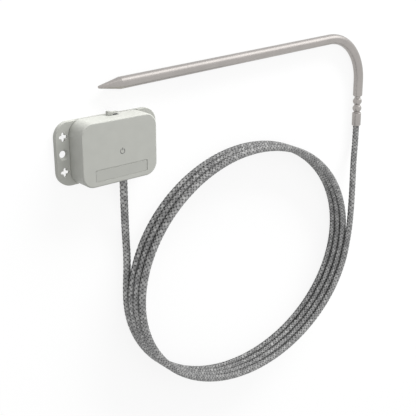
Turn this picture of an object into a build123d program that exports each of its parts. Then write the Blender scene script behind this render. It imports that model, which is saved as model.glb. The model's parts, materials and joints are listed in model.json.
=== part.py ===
"""Wireless temperature sensor: a wall box, a braided cable in a coil and a bent, pointed probe."""

import os
from math import cos, pi, radians, sin, tan

from build123d import *

os.makedirs("parts", exist_ok=True)

# Case
case_width = 46.4
case_height = 33.6
case_depth = 13.3
case_wall = 1.6
case_corner_radius = 7.0
front_edge_radius = 0.8
parting_edge = 0.3

# Rear plate and its flanges
plate_thickness = 1.3
plate_corner_radius = 8.0
flange_thickness = 2.2
flange_edge_radius = 0.4
flange_case_gap = 0.25
flange_overlap = 4.4
flange_hole_radius = 1.85
flange_sink_radius = 2.85
flange_sink_angle = 64
flange_wall_gap = 0.55
flange_edge_margin = 1.65
cross_slot_y = 9.2
cross_slot_length = 4.9
cross_slot_width = 1.8
slot_relief_side = 5.7
slot_relief_corner = 0.8
slot_relief_depth = 1.0
rim_thickness = 1.2
rim_height = 2.1
rim_clearance = 0.2
rim_gap_margin = 0.6

# Seal between the plate and the cover's wall
seal_width = 0.8
seal_height = 0.6
seal_clearance = 0.05

# Snap latch in the top wall, and the two hooks at the bottom
latch_x = 1.8
latch_z = 4.1
latch_window_width = 7.0
latch_window_height = 3.0
latch_tongue_thickness = 1.2
latch_side_gap = 0.2
latch_open_gap = 1.9
latch_back_gap = 0.25
latch_front_gap = 0.75
latch_head_proud = 1.5
latch_post_length = 3.2
latch_lip_thickness = 0.55
latch_lip_overhang = 1.2
latch_lobe_length = 1.7
latch_lobe_proud = 2.2
latch_lobe_radius = 0.6
hook_corner_gap = 0.15
hook_width = 4.5
hook_height = 0.8
hook_reach = 0.8
hook_clearance = 0.1

# Front face marks
label_x = 0.6
label_y = -10.9
label_width = 32.4
label_height = 6.4
label_corner_radius = 0.6
label_depth = 0.3
mark_x = 1.1
mark_y = -0.5
mark_radius = 1.55
mark_stroke = 0.45
mark_gap = 1.35
mark_bar_length = 1.4
mark_bar_rise = 1.2
mark_depth = 0.25

# Circuit board on four bosses of the cover
boss_radius = 2.0
boss_inset = 4.4
board_thickness = 1.2
board_clearance = 1.7
board_corner_radius = 3.0
board_notch_clearance = 0.75
screw_radius = 0.8
screw_head_radius = 1.7
screw_head_height = 1.1
screw_slot_length = 2.4
screw_slot_width = 0.5
screw_slot_depth = 0.5
screw_grip = 1.8
screw_clearance = 0.05
screw_hole_clearance = 0.25
boss_hole_extra = 0.2

# Coin cell, its holder and its two contacts, behind the board
cell_radius = 10.0
cell_thickness = 3.2
cell_cap_radius = 8.8
cell_cap_height = 0.5
cell_edge_radius = 0.25
cell_plate_clearance = 0.7
holder_wall = 1.3
holder_base = 0.9
holder_cell_clearance = 0.2
holder_board_margin = 0.2
holder_y = 0.5
holder_thumb_gap = 9.0
base_contact_width = 3.0
base_contact_length = 12.0
base_contact_thickness = 0.25
base_contact_corner_radius = 1.0
clip_width = 5.0
clip_thickness = 0.3
clip_side_gap = 0.15

# Braided cable and the way out of the case
cable_diameter = 4.4
grommet_neck_wall = 0.6
grommet_flange_lip = 0.7
grommet_flange_thickness = 0.8
grommet_clearance = 0.05
grommet_plate_clearance = 0.8
ferrule_wall = 0.5
ferrule_length = 2.9
wire_radius = 0.6
wire_spacing = 2.1
wire_grip = 4.2
wire_hole_clearance = 0.15

# Wire terminal behind the board
terminal_width = 5.4
terminal_length = 5.6
terminal_wire_depth = 2.0
terminal_holder_gap = 0.3
terminal_edge_radius = 0.3
terminal_gap = 3.0
terminal_screw_radius = 0.9
terminal_slot_width = 0.4
terminal_slot_depth = 0.5

# Parts on the front of the board
touch_pad_radius = 3.5
touch_pad_thickness = 0.3
touch_post_radius = 2.0
led_length = 1.6
led_width = 0.8
led_height = 0.7
led_edge_radius = 0.15
led_offset_y = 5.2
module_edge_gap = 3.8
module_y = 2.4
module_width = 9.0
module_length = 12.0
module_thickness = 0.6
shield_width = 7.8
shield_length = 8.6
shield_height = 0.8
shield_edge_radius = 0.3
antenna_x = 6.0
antenna_length = 7.0
antenna_width = 2.0
antenna_height = 1.1
antenna_edge_gap = 0.6
antenna_edge = 0.15
chip_y = -4.0
chip_width = 4.0
chip_length = 5.0
chip_height = 1.1
chip_lead_width = 0.3
chip_lead_length = 0.7
chip_lead_thickness = 0.2
chip_lead_pitch = 1.0
chip_leads_a_side = 4
crystal_y = 4.4
crystal_length = 3.2
crystal_width = 1.5
crystal_base_height = 0.4
crystal_lid_height = 0.4
crystal_lid_inset = 0.2
capacitor_length = 1.6
capacitor_width = 0.8
capacitor_height = 0.8
capacitor_edge_radius = 0.1
capacitor_edge_gap = 4.5
capacitor_pitch = 2.4
capacitor_count = 5

# Oval coil: turns laid on one another, each a little aside from the one below
coil_x = 99.05
coil_y = -93.6
coil_half_length = 90.8
coil_half_width = 75.6
coil_tilt = -4.9
coil_rise = 4.3
coil_lean_x = 0.48
coil_lean_y = -0.30
coil_layers = 4
coil_slot_clearance = 0.3
coil_slot_length = 34.0
coil_straight_run = 16.0

# Corners of the cable's way from the case to the coil, and from the coil to the probe
lead_level_y = -30.0
lead_floor_point = (8.7, -50.0, 2.4)
tail_high_point = (196.3, -65.0, 12.0)
tail_low_point = (203.4, -46.5, 5.6)
probe_straight_run = 12.0
bend_share = 0.45

# Probe: pointed tube with one right-angle bend, lying on the floor.
# The long leg is counted from the bend's corner, the short one from where the bend ends.
probe_diameter = 6.35
probe_wall = 0.5
probe_corner_x = 203.3
probe_corner_y = 41.5
probe_tilt = 2.7
probe_long_leg = 209.0
probe_short_leg = 31.8
probe_bend_radius = 32.0
tip_length = 13.0
tip_radius = 0.65
tip_edge_radius = 0.4
tip_bore_start = 13.5
bead_pitch = 5.0
bead_count = 2
first_neck_width = 1.6
neck_width = 0.8
neck_depth = 1.15
shoulder_share = 0.7
sleeve_diameter = 6.1
sleeve_length = 9.4
sleeve_edge = 0.4
insert_clearance = 0.05
element_radius = 1.4
element_length = 10.0
element_gap = 3.0
sensor_wire_radius = 0.5
sensor_wire_spacing = 1.6
potting_length = 20.0
potting_clearance = 0.05

# Levels and places that follow from the sizes above
flange_hole_x = case_width / 2 + flange_wall_gap + flange_sink_radius
plate_width = 2 * (flange_hole_x + flange_sink_radius + flange_edge_margin)
plate_height = case_height
rim_top = plate_thickness + rim_height
inner_width = case_width - 2 * case_wall
inner_height = case_height - 2 * case_wall
inner_corner_radius = case_corner_radius - case_wall
front_inside = case_depth - case_wall
case_top_y = case_height / 2
case_bottom_y = -case_height / 2
wall_top_y = inner_height / 2
wall_bottom_y = -inner_height / 2
board_width = inner_width - 2 * board_clearance
board_height = inner_height - 2 * board_clearance
clip_back = plate_thickness + cell_plate_clearance
cell_back = clip_back + clip_thickness
cell_front = cell_back + cell_thickness
holder_face = cell_front + base_contact_thickness
board_back = holder_face + holder_base
board_front = board_back + board_thickness
boss_length = front_inside - board_front
boss_spacing_x = inner_width - 2 * boss_inset
boss_spacing_y = inner_height - 2 * boss_inset
holder_radius = cell_radius + holder_cell_clearance + holder_wall
holder_x = -board_width / 2 + holder_radius + holder_board_margin
cable_radius = cable_diameter / 2
probe_radius = probe_diameter / 2
probe_bore_radius = probe_radius - probe_wall
probe_leg_end = probe_bend_radius + probe_short_leg
exit_hole_radius = cable_radius + grommet_neck_wall
grommet_flange_radius = exit_hole_radius + grommet_flange_lip
cable_exit_x = holder_x + holder_radius + terminal_holder_gap + terminal_width / 2
cable_exit_z = plate_thickness + grommet_plate_clearance + grommet_flange_radius
ferrule_radius = cable_radius + grommet_clearance + ferrule_wall
hook_x = inner_width / 2 - inner_corner_radius - hook_corner_gap - hook_width / 2
latch_tongue_width = latch_window_width - latch_side_gap - latch_open_gap
latch_head_height = latch_window_height - latch_back_gap - latch_front_gap
ferrule_back_y = wall_bottom_y + grommet_flange_thickness
cable_end_y = ferrule_back_y + ferrule_length
terminal_front_y = cable_end_y + terminal_gap
exit_plane = Plane((cable_exit_x, case_bottom_y, cable_exit_z), x_dir=(1, 0, 0), z_dir=(0, -1, 0))
top_plane = Plane((latch_x, case_top_y, latch_z), x_dir=(1, 0, 0), z_dir=(0, 1, 0))
probe_plane = Plane((probe_corner_x, probe_corner_y, probe_radius)).rotated((0, 0, probe_tilt))
base_align = (Align.CENTER, Align.CENTER, Align.MIN)
hanging_align = (Align.CENTER, Align.CENTER, Align.MAX)


def save(piece, name):
    """Label a finished piece and write it to its own file."""
    piece.part.label = name
    export_step(piece.part, f"parts/{name}.step")


# Front cover: shell, board bosses, cable hole, latch window, hook pockets and front marks
with BuildPart() as front_cover:
    with BuildSketch(Plane.XY.offset(plate_thickness)):
        RectangleRounded(case_width, case_height, case_corner_radius)
    extrude(amount=case_depth - plate_thickness)
    fillet(front_cover.faces().sort_by(Axis.Z)[-1].edges(), front_edge_radius)
    chamfer(front_cover.faces().sort_by(Axis.Z)[0].edges(), parting_edge)
    with BuildSketch(Plane.XY.offset(plate_thickness)):
        RectangleRounded(inner_width, inner_height, inner_corner_radius)
    extrude(amount=front_inside - plate_thickness, mode=Mode.SUBTRACT)
    with BuildSketch(Plane.XY.offset(front_inside)):
        with GridLocations(boss_spacing_x, boss_spacing_y, 2, 2):
            Circle(boss_radius)
    extrude(amount=-boss_length)
    with BuildSketch(Plane.XY.offset(board_front)):
        with GridLocations(boss_spacing_x, boss_spacing_y, 2, 2):
            Circle(screw_radius + screw_clearance)
    extrude(amount=screw_grip + boss_hole_extra, mode=Mode.SUBTRACT)
    with Locations(exit_plane):
        Hole(exit_hole_radius, depth=case_wall)
    with BuildSketch(top_plane):
        Rectangle(latch_window_width, latch_window_height)
    extrude(amount=-case_wall, mode=Mode.SUBTRACT)
    for side in (-1, 1):
        with Locations((side * hook_x, wall_bottom_y, rim_top + hook_clearance)):
            Box(
                hook_width + 2 * hook_clearance,
                2 * (hook_reach - rim_clearance + hook_clearance),
                hook_height + 2 * hook_clearance,
                align=hanging_align,
                mode=Mode.SUBTRACT,
            )
    with BuildSketch(Plane.XY.offset(case_depth)):
        with Locations((label_x, label_y)):
            RectangleRounded(label_width, label_height, label_corner_radius)
    extrude(amount=-label_depth, mode=Mode.SUBTRACT)
    with BuildSketch(Plane.XY.offset(case_depth)):
        with Locations((mark_x, mark_y)):
            Circle(mark_radius)
            Circle(mark_radius - mark_stroke, mode=Mode.SUBTRACT)
        with Locations((mark_x, mark_y + mark_bar_rise)):
            Rectangle(mark_gap, mark_bar_length, mode=Mode.SUBTRACT)
            Rectangle(mark_stroke, mark_bar_length)
    extrude(amount=-mark_depth, mode=Mode.SUBTRACT)
save(front_cover, "front_cover")

# Rear plate: thicker flanges with countersunk holes and cross slots, seal groove, rim, hooks and latch
with BuildPart() as rear_plate:
    with BuildSketch():
        RectangleRounded(plate_width, plate_height, plate_corner_radius)
    extrude(amount=plate_thickness)
    with BuildSketch():
        RectangleRounded(plate_width, plate_height, plate_corner_radius)
        Rectangle(case_width - 2 * flange_overlap, plate_height, mode=Mode.SUBTRACT)
        RectangleRounded(
            case_width + 2 * flange_case_gap,
            case_height + 2 * flange_case_gap,
            case_corner_radius + flange_case_gap,
            mode=Mode.SUBTRACT,
        )
    extrude(amount=flange_thickness)
    flange_edges = rear_plate.faces().sort_by(Axis.Z)[-2:].edges()
    fillet(flange_edges.filter_by(lambda edge: abs(edge.center().X) > flange_hole_x), flange_edge_radius)
    with Locations(Plane.XY.offset(flange_thickness)):
        with GridLocations(2 * flange_hole_x, 0, 2, 1):
            CounterSinkHole(
                flange_hole_radius,
                flange_sink_radius,
                depth=flange_thickness,
                counter_sink_angle=flange_sink_angle,
            )
    with BuildSketch():
        with GridLocations(2 * flange_hole_x, 2 * cross_slot_y, 2, 2):
            SlotOverall(cross_slot_length, cross_slot_width)
            SlotOverall(cross_slot_length, cross_slot_width, rotation=90)
    extrude(amount=flange_thickness, mode=Mode.SUBTRACT)
    with BuildSketch():
        with GridLocations(2 * flange_hole_x, 2 * cross_slot_y, 2, 2):
            RectangleRounded(slot_relief_side, slot_relief_side, slot_relief_corner)
    extrude(amount=slot_relief_depth, mode=Mode.SUBTRACT)
    groove_middle = case_wall / 2
    groove_half = seal_width / 2 + seal_clearance
    with BuildSketch(Plane.XY.offset(plate_thickness)):
        RectangleRounded(
            case_width - 2 * (groove_middle - groove_half),
            case_height - 2 * (groove_middle - groove_half),
            case_corner_radius - groove_middle + groove_half,
        )
        RectangleRounded(
            case_width - 2 * (groove_middle + groove_half),
            case_height - 2 * (groove_middle + groove_half),
            case_corner_radius - groove_middle - groove_half,
            mode=Mode.SUBTRACT,
        )
    extrude(amount=-seal_height, mode=Mode.SUBTRACT)
    rim_inset = rim_clearance + rim_thickness
    rim_cable_gap = 2 * (grommet_flange_radius + rim_gap_margin)
    rim_latch_gap = latch_window_width + 2 * rim_gap_margin
    with BuildSketch(Plane.XY.offset(plate_thickness)):
        RectangleRounded(
            inner_width - 2 * rim_clearance,
            inner_height - 2 * rim_clearance,
            inner_corner_radius - rim_clearance,
        )
        RectangleRounded(
            inner_width - 2 * rim_inset,
            inner_height - 2 * rim_inset,
            inner_corner_radius - rim_inset,
            mode=Mode.SUBTRACT,
        )
        with Locations((cable_exit_x, wall_bottom_y)):
            Rectangle(rim_cable_gap, 2 * (rim_inset + rim_clearance), mode=Mode.SUBTRACT)
        with Locations((latch_x, wall_top_y)):
            Rectangle(rim_latch_gap, 2 * (rim_inset + rim_clearance), mode=Mode.SUBTRACT)
    extrude(amount=rim_height)
    for side in (-1, 1):
        with Locations((side * hook_x, wall_bottom_y + rim_clearance, rim_top)):
            Box(hook_width, 2 * hook_reach, hook_height, align=hanging_align)
    tongue_left = latch_x - latch_window_width / 2 + latch_side_gap
    tongue_x = tongue_left + latch_tongue_width / 2
    tongue_y = wall_top_y - rim_clearance - latch_tongue_thickness / 2
    head_top = latch_z - latch_window_height / 2 + latch_back_gap + latch_head_height
    with Locations((tongue_x, tongue_y, plate_thickness)):
        Box(latch_tongue_width, latch_tongue_thickness, head_top - plate_thickness, align=base_align)
    with Locations((tongue_left, tongue_y, head_top)):
        Box(
            latch_post_length,
            case_top_y - tongue_y + latch_head_proud,
            latch_head_height,
            align=(Align.MIN, Align.MIN, Align.MAX),
        )
        Box(
            latch_lobe_length,
            case_top_y - tongue_y + latch_lobe_proud,
            latch_head_height,
            align=(Align.MIN, Align.MIN, Align.MAX),
        )
    with Locations((tongue_left, case_top_y + latch_head_proud, head_top)):
        Box(
            latch_tongue_width + latch_lip_overhang,
            latch_lip_thickness,
            latch_head_height,
            align=(Align.MIN, Align.MAX, Align.MAX),
        )
    fillet(rear_plate.faces().sort_by(Axis.Y)[-1].edges().filter_by(Axis.Z), latch_lobe_radius)
save(rear_plate, "rear_plate")

# Seal ring in the plate's groove, under the middle of the cover's wall
with BuildPart() as cover_seal:
    with BuildSketch(Plane.XY.offset(plate_thickness)):
        RectangleRounded(
            case_width - case_wall + seal_width,
            case_height - case_wall + seal_width,
            case_corner_radius - (case_wall - seal_width) / 2,
        )
        RectangleRounded(
            case_width - case_wall - seal_width,
            case_height - case_wall - seal_width,
            case_corner_radius - (case_wall + seal_width) / 2,
            mode=Mode.SUBTRACT,
        )
    extrude(amount=-seal_height)
save(cover_seal, "cover_seal")

# Circuit board with a notch for the cable's ferrule
board_notch_width = 2 * (ferrule_radius + board_notch_clearance)
board_notch_depth = cable_end_y + board_height / 2 + board_notch_clearance
with BuildPart() as circuit_board:
    with BuildSketch(Plane.XY.offset(board_back)):
        RectangleRounded(board_width, board_height, board_corner_radius)
        with Locations((cable_exit_x, -board_height / 2)):
            Rectangle(board_notch_width, 2 * board_notch_depth, mode=Mode.SUBTRACT)
        with GridLocations(boss_spacing_x, boss_spacing_y, 2, 2):
            Circle(screw_radius + screw_hole_clearance, mode=Mode.SUBTRACT)
    extrude(amount=board_thickness)
save(circuit_board, "circuit_board")

# Four board screws, driven from behind into the cover's bosses
with BuildPart() as board_screws:
    with BuildSketch(Plane.XY.offset(board_back)):
        with GridLocations(boss_spacing_x, boss_spacing_y, 2, 2):
            Circle(screw_radius)
    extrude(amount=board_thickness + screw_grip)
    with BuildSketch(Plane.XY.offset(board_back)):
        with GridLocations(boss_spacing_x, boss_spacing_y, 2, 2):
            Circle(screw_head_radius)
    extrude(amount=-screw_head_height)
    with BuildSketch(Plane.XY.offset(board_back - screw_head_height)):
        with GridLocations(boss_spacing_x, boss_spacing_y, 2, 2):
            Rectangle(screw_slot_length, screw_slot_width)
            Rectangle(screw_slot_width, screw_slot_length)
    extrude(amount=screw_slot_depth, mode=Mode.SUBTRACT)
save(board_screws, "board_screws")

# Cell holder: a round tray behind the board, open on one side for a thumb
with BuildPart() as battery_holder:
    with Locations((holder_x, holder_y, board_back)):
        Cylinder(holder_radius, holder_base, align=hanging_align)
    with Locations((holder_x, holder_y, holder_face)):
        Cylinder(holder_radius, cell_thickness, align=hanging_align)
        Cylinder(holder_radius - holder_wall, cell_thickness, align=hanging_align, mode=Mode.SUBTRACT)
        with Locations((holder_radius, 0, 0)):
            Box(holder_radius, holder_thumb_gap, cell_thickness, align=hanging_align, mode=Mode.SUBTRACT)
save(battery_holder, "battery_holder")

# Contact strip on the tray's floor, under the cell's cap
with BuildPart() as cell_base_contact:
    with Locations((holder_x, holder_y, holder_face)):
        Box(base_contact_length, base_contact_width, base_contact_thickness, align=hanging_align)
    fillet(cell_base_contact.edges().filter_by(Axis.Z), base_contact_corner_radius)
save(cell_base_contact, "cell_base_contact")

# Coin cell: can and raised cap, sealed
with BuildPart() as coin_cell:
    with Locations((holder_x, holder_y, cell_front)):
        Cylinder(cell_cap_radius, cell_cap_height, align=hanging_align)
    with Locations((holder_x, holder_y, cell_front - cell_cap_height)):
        Cylinder(cell_radius, cell_thickness - cell_cap_height, align=hanging_align)
    fillet(coin_cell.faces().sort_by(Axis.Z)[0].edges(), cell_edge_radius)
save(coin_cell, "coin_cell")

# Spring clip over the cell, with a leg to the board at each end
clip_leg_y = holder_radius + clip_side_gap
clip_plane = Plane((holder_x, holder_y, 0), x_dir=(0, 1, 0), z_dir=(1, 0, 0))
with BuildPart() as cell_clip:
    with BuildSketch(clip_plane):
        with BuildLine():
            Polyline(
                (-clip_leg_y, board_back),
                (-clip_leg_y, cell_back),
                (clip_leg_y, cell_back),
                (clip_leg_y, board_back),
                (clip_leg_y + clip_thickness, board_back),
                (clip_leg_y + clip_thickness, clip_back),
                (-clip_leg_y - clip_thickness, clip_back),
                (-clip_leg_y - clip_thickness, board_back),
                close=True,
            )
        make_face()
    extrude(amount=clip_width / 2, both=True)
save(cell_clip, "cell_clip")

# Rubber grommet in the cover's bottom wall
with BuildPart(exit_plane) as cable_grommet:
    Cylinder(grommet_flange_radius, grommet_flange_thickness, align=base_align)
    Cylinder(exit_hole_radius - grommet_clearance, case_wall, align=hanging_align)
    with Locations((0, 0, -case_wall)):
        Cylinder(grommet_flange_radius, grommet_flange_thickness, align=hanging_align)
    with Locations((0, 0, grommet_flange_thickness)):
        Hole(cable_radius + grommet_clearance)
save(cable_grommet, "cable_grommet")

# Crimped ferrule on the cable's end, too large for the grommet's bore
ferrule_plane = exit_plane.offset(-(ferrule_back_y - case_bottom_y))
with BuildPart(ferrule_plane) as cable_ferrule:
    Cylinder(ferrule_radius, ferrule_length, align=hanging_align)
    Hole(cable_radius + grommet_clearance)
save(cable_ferrule, "cable_ferrule")

# Two conductors from the cable's end into the terminal
wire_plane = exit_plane.offset(-(cable_end_y - case_bottom_y))
with BuildPart(wire_plane) as lead_wires:
    with GridLocations(wire_spacing, 0, 2, 1):
        Cylinder(wire_radius, terminal_gap + wire_grip, align=hanging_align)
save(lead_wires, "lead_wires")

# Wire terminal behind the board, and its two clamping screws
terminal_middle_y = terminal_front_y + terminal_length / 2
terminal_back = cable_exit_z - terminal_wire_depth
terminal_height = board_back - terminal_back
terminal_screw_height = cable_exit_z - wire_radius - terminal_back
with BuildPart() as cable_terminal:
    with Locations((cable_exit_x, terminal_middle_y, board_back)):
        Box(terminal_width, terminal_length, terminal_height, align=hanging_align)
    fillet(cable_terminal.edges().filter_by(Axis.Z), terminal_edge_radius)
    with Locations(exit_plane.offset(-(terminal_front_y - case_bottom_y))):
        with GridLocations(wire_spacing, 0, 2, 1):
            Hole(wire_radius + wire_hole_clearance, depth=wire_grip)
    with BuildSketch(Plane.XY.offset(terminal_back)):
        with Locations((cable_exit_x, terminal_middle_y)):
            with GridLocations(wire_spacing, 0, 2, 1):
                Circle(terminal_screw_radius + screw_clearance)
    extrude(amount=terminal_screw_height, mode=Mode.SUBTRACT)
save(cable_terminal, "cable_terminal")

with BuildPart() as terminal_screws:
    with BuildSketch(Plane.XY.offset(terminal_back)):
        with Locations((cable_exit_x, terminal_middle_y)):
            with GridLocations(wire_spacing, 0, 2, 1):
                Circle(terminal_screw_radius)
    extrude(amount=terminal_screw_height)
    with BuildSketch(Plane.XY.offset(terminal_back)):
        with Locations((cable_exit_x, terminal_middle_y)):
            with GridLocations(wire_spacing, 0, 2, 1):
                Rectangle(2 * terminal_screw_radius, terminal_slot_width)
    extrude(amount=terminal_slot_depth, mode=Mode.SUBTRACT)
save(terminal_screws, "terminal_screws")

# Touch electrode: a pad held against the front wall by a post, behind the power mark
with BuildPart() as touch_electrode:
    with Locations((mark_x, mark_y, board_front)):
        Cylinder(touch_post_radius, boss_length - touch_pad_thickness, align=base_align)
    with Locations((mark_x, mark_y, front_inside)):
        Cylinder(touch_pad_radius, touch_pad_thickness, align=hanging_align)
save(touch_electrode, "touch_electrode")

# Status light beside the power mark
with BuildPart() as status_led:
    with Locations((mark_x, mark_y + led_offset_y, board_front)):
        Box(led_length, led_width, led_height, align=base_align)
    fillet(status_led.faces().sort_by(Axis.Z)[-1].edges(), led_edge_radius)
save(status_led, "status_led")

# Radio module with its metal shield
module_x = board_width / 2 - module_edge_gap - module_width / 2
with BuildPart() as radio_module:
    with Locations((module_x, module_y, board_front)):
        Box(module_width, module_length, module_thickness, align=base_align)
save(radio_module, "radio_module")

with BuildPart() as radio_shield:
    with Locations((module_x, module_y, board_front + module_thickness)):
        Box(shield_width, shield_length, shield_height, align=base_align)
    fillet(radio_shield.edges().filter_by(Axis.Z), shield_edge_radius)
    fillet(radio_shield.faces().sort_by(Axis.Z)[-1].edges(), shield_edge_radius)
save(radio_shield, "radio_shield")

# Chip antenna along the board's top edge
with BuildPart() as chip_antenna:
    with Locations((antenna_x, board_height / 2 - antenna_edge_gap - antenna_width / 2, board_front)):
        Box(antenna_length, antenna_width, antenna_height, align=base_align)
    chamfer(chip_antenna.faces().sort_by(Axis.Z)[-1].edges(), antenna_edge)
save(chip_antenna, "chip_antenna")

# Converter chip with a row of bent leads on each side
chip_x = holder_x
chip_lead_middle = chip_width / 2 + chip_lead_length / 2
with BuildPart() as converter_chip:
    with Locations((chip_x, chip_y, board_front + chip_lead_thickness)):
        Box(chip_width, chip_length, chip_height - chip_lead_thickness, align=base_align)
    with Locations((chip_x, chip_y, board_front)):
        for side in (-1, 1):
            with Locations((side * chip_lead_middle, 0, 0)):
                with GridLocations(0, chip_lead_pitch, 1, chip_leads_a_side):
                    Box(chip_lead_length, chip_lead_width, chip_height / 2, align=base_align)
save(converter_chip, "converter_chip")

# Clock crystal: ceramic base and metal lid
with BuildPart() as clock_crystal:
    with Locations((chip_x, crystal_y, board_front)):
        Box(crystal_length, crystal_width, crystal_base_height, align=base_align)
    with Locations((chip_x, crystal_y, board_front + crystal_base_height)):
        Box(
            crystal_length - 2 * crystal_lid_inset,
            crystal_width - 2 * crystal_lid_inset,
            crystal_lid_height,
            align=base_align,
        )
save(clock_crystal, "clock_crystal")

# Row of chip capacitors
capacitor_x = -board_width / 2 + capacitor_edge_gap + capacitor_length / 2
with BuildPart() as chip_capacitors:
    with Locations((capacitor_x, 0, board_front)):
        with GridLocations(0, capacitor_pitch, 1, capacitor_count):
            Box(capacitor_length, capacitor_width, capacitor_height, align=base_align)
    fillet(chip_capacitors.edges().filter_by(Axis.Y), capacitor_edge_radius)
save(chip_capacitors, "chip_capacitors")


def coil_point(angle, layer):
    """Middle of the cable on one layer of the coil, at an angle counted from its long axis."""
    along = coil_half_length * cos(radians(angle))
    across = coil_half_width * sin(radians(angle))
    turn = radians(coil_tilt)
    return Vector(
        coil_x + coil_lean_x * layer + along * cos(turn) - across * sin(turn),
        coil_y + coil_lean_y * layer + along * sin(turn) + across * cos(turn),
        cable_radius + coil_rise * layer,
    )


def coil_heading(angle):
    """Direction in which the cable runs round the coil at an angle."""
    along = -coil_half_length * sin(radians(angle))
    across = coil_half_width * cos(radians(angle))
    turn = radians(coil_tilt)
    heading = Vector(
        along * cos(turn) - across * sin(turn),
        along * sin(turn) + across * cos(turn),
        0,
    )
    return heading.normalized()


def bend_radii(name, route):
    """Largest arc that the two runs at each corner of a route allow."""
    radii = []
    for before, corner, after in zip(route, route[1:], route[2:]):
        arriving = corner - before
        leaving = after - corner
        half_turn = radians(arriving.get_angle(leaving)) / 2
        radii.append(bend_share * min(arriving.length, leaving.length) / tan(half_turn))
    print(name, "bend radii", [round(radius, 1) for radius in radii])
    return radii


def report_tube(name, piece, path):
    """Compare a tube's volume with its section times its length."""
    length = path.wires()[0].length
    share = piece.part.volume / (pi * cable_radius**2 * length)
    print(name, "length", round(length, 1), "volume share", round(share, 4))


# Places where the coil starts and ends, and the probe's end on the cable
coil_start = coil_point(180, 0)
coil_end = coil_point(0, coil_layers - 1)
probe_along = probe_plane.x_dir
probe_across = probe_plane.y_dir * -1
probe_corner = probe_plane.origin
probe_end = probe_corner + probe_across * probe_leg_end

# Lead from the case down to the floor and into the coil's first turn
lead_route = [
    Vector(cable_exit_x, cable_end_y, cable_exit_z),
    Vector(cable_exit_x, lead_level_y, cable_exit_z),
    Vector(*lead_floor_point),
    coil_start - coil_heading(180) * coil_straight_run,
    coil_start,
]
with BuildPart() as cable_lead:
    with BuildLine() as lead_path:
        FilletPolyline(*lead_route, radius=bend_radii("cable_lead", lead_route))
    with BuildSketch(Plane(lead_route[0], z_dir=(0, -1, 0))):
        Circle(cable_radius)
    sweep(path=lead_path.wires()[0])
report_tube("cable_lead", cable_lead, lead_path)
save(cable_lead, "cable_lead")

# Coil: one oval ring, leaning as its layers do, with a slot for the lead and one for the tail
coil_top = cable_diameter + coil_rise * (coil_layers - 1)
coil_lean = Vector(coil_lean_x, coil_lean_y, coil_rise)
coil_foot = Vector(coil_x, coil_y, 0) - Vector(coil_lean_x, coil_lean_y, 0) * (cable_radius / coil_rise)
slot_side = cable_diameter + 2 * coil_slot_clearance
with BuildPart() as cable_coil:
    with BuildSketch(Plane(coil_foot)):
        Ellipse(coil_half_length + cable_radius, coil_half_width + cable_radius, rotation=coil_tilt)
        Ellipse(
            coil_half_length - cable_radius,
            coil_half_width - cable_radius,
            rotation=coil_tilt,
            mode=Mode.SUBTRACT,
        )
    extrude(amount=coil_top * coil_lean.length / coil_rise, dir=coil_lean.normalized())
    for place, heading in ((coil_start, coil_heading(180) * -1), (coil_end, coil_heading(0))):
        with BuildSketch(Plane(place, x_dir=(0, 0, 1), z_dir=heading)):
            Rectangle(slot_side, slot_side)
        extrude(amount=coil_slot_length, mode=Mode.SUBTRACT)
save(cable_coil, "cable_coil")

# Tail from the coil's last turn down to the probe's end
tail_route = [
    coil_end,
    coil_end + coil_heading(0) * coil_straight_run,
    Vector(*tail_high_point),
    Vector(*tail_low_point),
    probe_end + probe_across * probe_straight_run,
    probe_end,
]
with BuildPart() as cable_tail:
    with BuildLine() as tail_path:
        FilletPolyline(*tail_route, radius=bend_radii("cable_tail", tail_route))
    with BuildSketch(Plane(tail_route[0], z_dir=tail_route[1] - tail_route[0])):
        Circle(cable_radius)
    sweep(path=tail_path.wires()[0])
report_tube("cable_tail", cable_tail, tail_path)
save(cable_tail, "cable_tail")

# Probe sheath: turned point, bent tube and a crimped end with a sleeve, all one hollow piece
tip_point = probe_corner - probe_along * probe_long_leg
tip_section = Plane(tip_point, x_dir=(0, 0, 1), z_dir=probe_plane.y_dir)
leg_section = Plane(probe_corner, x_dir=(0, 0, 1), z_dir=probe_along)
tip_plane = Plane(tip_point, x_dir=(0, 0, 1), z_dir=probe_along)
tip_axis = Axis(tip_point, probe_along)
leg_axis = Axis(probe_corner, probe_across)
sleeve_start = probe_leg_end - sleeve_length
crimp_start = sleeve_start - bead_pitch * bead_count - first_neck_width
shoulder = neck_depth * shoulder_share
shoulder_start = crimp_start - shoulder
sleeve_radius = sleeve_diameter / 2
neck_radius = probe_radius - neck_depth
insert_radius = neck_radius - probe_wall


def tube_route(start, height):
    """Corners of a line along the probe, from a distance behind the tip to the crimped end."""
    lift = Vector(0, 0, height)
    return [
        tip_point + probe_along * start + lift,
        probe_corner + lift,
        probe_corner + probe_across * shoulder_start + lift,
    ]


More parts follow.
